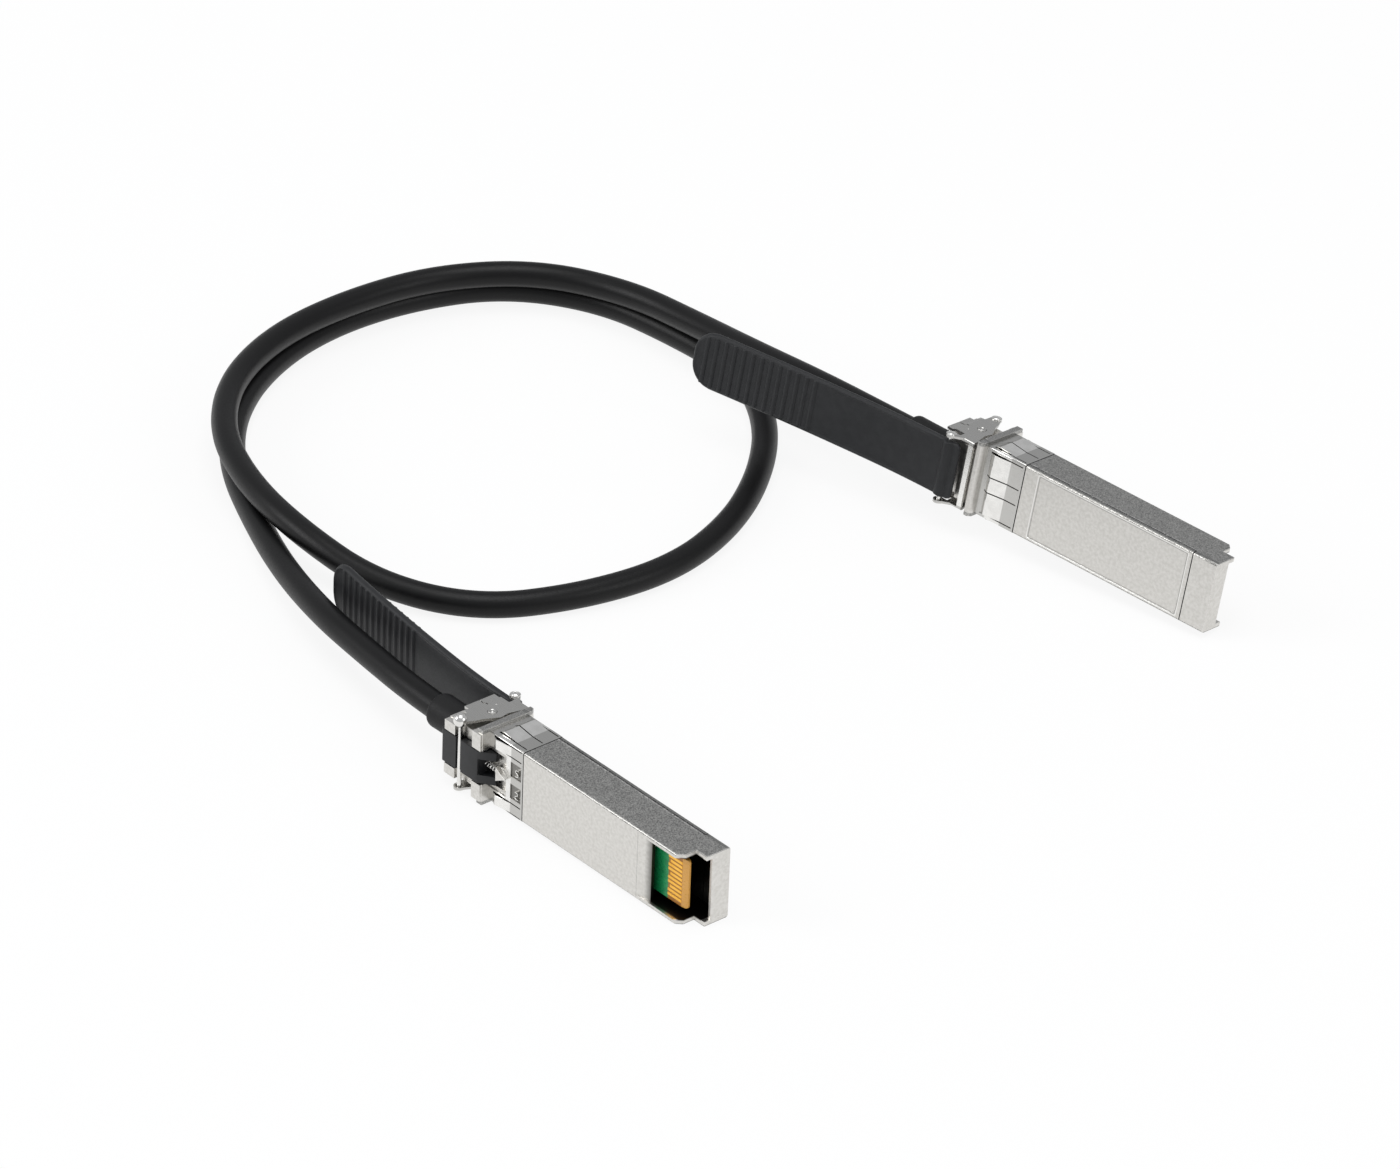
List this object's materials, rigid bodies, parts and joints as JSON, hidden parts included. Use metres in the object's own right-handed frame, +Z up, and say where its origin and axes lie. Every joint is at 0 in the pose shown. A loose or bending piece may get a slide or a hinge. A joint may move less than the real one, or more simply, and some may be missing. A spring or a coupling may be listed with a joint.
{
  "type": "direct attach copper cable",
  "caption": "Short black copper cable with a latching metal plug and a ribbed pull tab at each end, lying in an open loop.",
  "frame": {"origin": "on the surface it lies on, under the middle of the box round both plugs, cable left out", "axes": "+Z up, +X along plug A towards its nose, +Y from plug A to plug B"},
  "size_m": [0.1947, 0.1418, 0.0222],
  "materials": {
    "cast_shell": "satin",
    "collar_sheet": "satin",
    "lever_sheet": "satin",
    "pin_steel": "polished",
    "slider_plastic": "satin",
    "spring_wire": "satin",
    "tab_rubber": "matte",
    "board_laminate": "satin",
    "contact_gold": "polished",
    "chip_black": "matte",
    "wire_insulation": "satin",
    "ferrule_brass": "satin",
    "boot_rubber": "matte",
    "cable_sheath": "satin"
  },
  "bodies": {
    "shells_and_cable": {"shell_base_a": "cast_shell", "shell_cover_a": "cast_shell", "emi_collar_a": "collar_sheet", "return_spring_a": "spring_wire", "circuit_board_a": "board_laminate", "contact_pads_a": "contact_gold", "board_parts_a": "chip_black", "twinax_wires_a": "wire_insulation", "crimp_ferrule_a": "ferrule_brass", "cable_boot_a": "boot_rubber", "shell_base_b": "cast_shell", "shell_cover_b": "cast_shell", "emi_collar_b": "collar_sheet", "return_spring_b": "spring_wire", "circuit_board_b": "board_laminate", "contact_pads_b": "contact_gold", "board_parts_b": "chip_black", "twinax_wires_b": "wire_insulation", "crimp_ferrule_b": "ferrule_brass", "cable_boot_b": "boot_rubber", "cable_jacket": "cable_sheath"},
    "lever_a": {"latch_lever_a": "lever_sheet", "cross_pin_a": "pin_steel", "tab_pin_a": "pin_steel"},
    "slider_a": {"release_slider_a": "slider_plastic"},
    "tab_a": {"pull_tab_a": "tab_rubber"},
    "lever_b": {"latch_lever_b": "lever_sheet", "cross_pin_b": "pin_steel", "tab_pin_b": "pin_steel"},
    "slider_b": {"release_slider_b": "slider_plastic"},
    "tab_b": {"pull_tab_b": "tab_rubber"}
  },
  "joints": [
    {"name": "lever_turn_a", "type": "hinge", "parent": "shells_and_cable", "child": "lever_a", "pos_m": [0.00812, -0.06416, 0.00724], "axis": [0.0098, 0, 1], "range_deg": [0, 20], "stiffness_Nm_per_rad": 0.02},
    {"name": "slider_push_a", "type": "slide", "parent": "shells_and_cable", "child": "slider_a", "axis": [1, 0, -0.0098], "range_m": [0, 0.0021], "deforming": ["return_spring_a"]},
    {"name": "tab_swing_a", "type": "hinge", "parent": "lever_a", "child": "tab_a", "pos_m": [0.00632, -0.05781, 0.00726], "axis": [0.0098, 0, 1], "range_deg": [-21.5, 0]},
    {"name": "lever_turn_b", "type": "hinge", "parent": "shells_and_cable", "child": "lever_b", "pos_m": [-0.00833, 0.05797, 0.01126], "axis": [-0.0503, -0.1431, -0.9884], "range_deg": [0, 20], "stiffness_Nm_per_rad": 0.02},
    {"name": "slider_push_b", "type": "slide", "parent": "shells_and_cable", "child": "slider_b", "axis": [0.9858, 0.1519, -0.0722], "range_m": [0, 0.0021], "deforming": ["return_spring_b"]},
    {"name": "tab_swing_b", "type": "hinge", "parent": "lever_b", "child": "tab_b", "pos_m": [-0.00908, 0.05149, 0.01224], "axis": [-0.0503, -0.1431, -0.9884], "range_deg": [-21.5, 0]}
  ],
  "couplings": [
    {"joint": "slider_push_a", "follows": "lever_turn_a", "m_per_rad": 0.00585},
    {"joint": "tab_swing_a", "follows": "lever_turn_a", "ratio": -1.07},
    {"joint": "slider_push_b", "follows": "lever_turn_b", "m_per_rad": 0.00585},
    {"joint": "tab_swing_b", "follows": "lever_turn_b", "ratio": -1.07}
  ]
}
